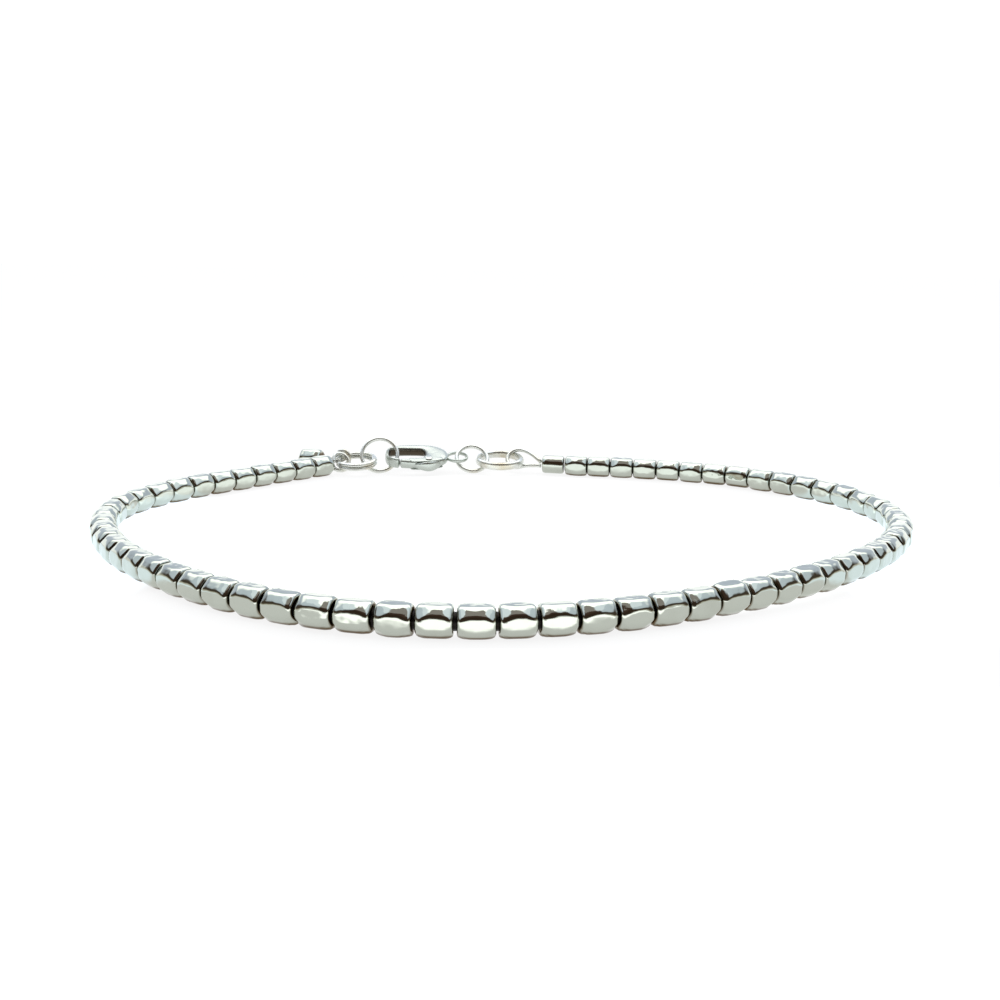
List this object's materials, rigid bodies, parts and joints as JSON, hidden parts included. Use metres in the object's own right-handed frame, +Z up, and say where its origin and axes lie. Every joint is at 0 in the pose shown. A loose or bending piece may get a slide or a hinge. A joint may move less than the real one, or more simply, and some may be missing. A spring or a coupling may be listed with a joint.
{
  "type": "nugget bracelet",
  "caption": "Bracelet of faceted silver nugget beads threaded end to end, lying as a closed loop, with a lobster claw clasp and jump rings at the back.",
  "frame": {"origin": "middle of the bracelet's box, on the surface that it lies on", "axes": "+X to the wearer's right along the loop's longer side, -Y to the front beads, +Z up"},
  "size_m": [0.0704, 0.057, 0.0036],
  "materials": {
    "polished_silver": "polished sterling silver, faceted",
    "bright_silver": "bright polished silver wire and castings"
  },
  "bodies": {
    "bracelet": {"bead_string": "polished_silver", "wire_loop_left": "bright_silver", "ring_left_heavy": "bright_silver", "drop_bead": "polished_silver", "drop_pin": "bright_silver", "ring_left_upright": "bright_silver", "clasp_body": "polished_silver", "clasp_rivet": "bright_silver", "ring_right": "bright_silver", "ring_right_heavy": "bright_silver", "wire_loop_right": "bright_silver", "crimp_tube": "bright_silver"},
    "lever": {"clasp_lever": "bright_silver"}
  },
  "joints": [
    {"name": "lever_swing", "type": "hinge", "parent": "bracelet", "child": "lever", "pos_m": [-0.00845, 0.02399, 0.00123], "axis": [-0.0274, 0.2405, -0.9703], "range_deg": [0, 22], "stiffness_Nm_per_rad": 0.006, "springref_deg": -17.19}
  ]
}
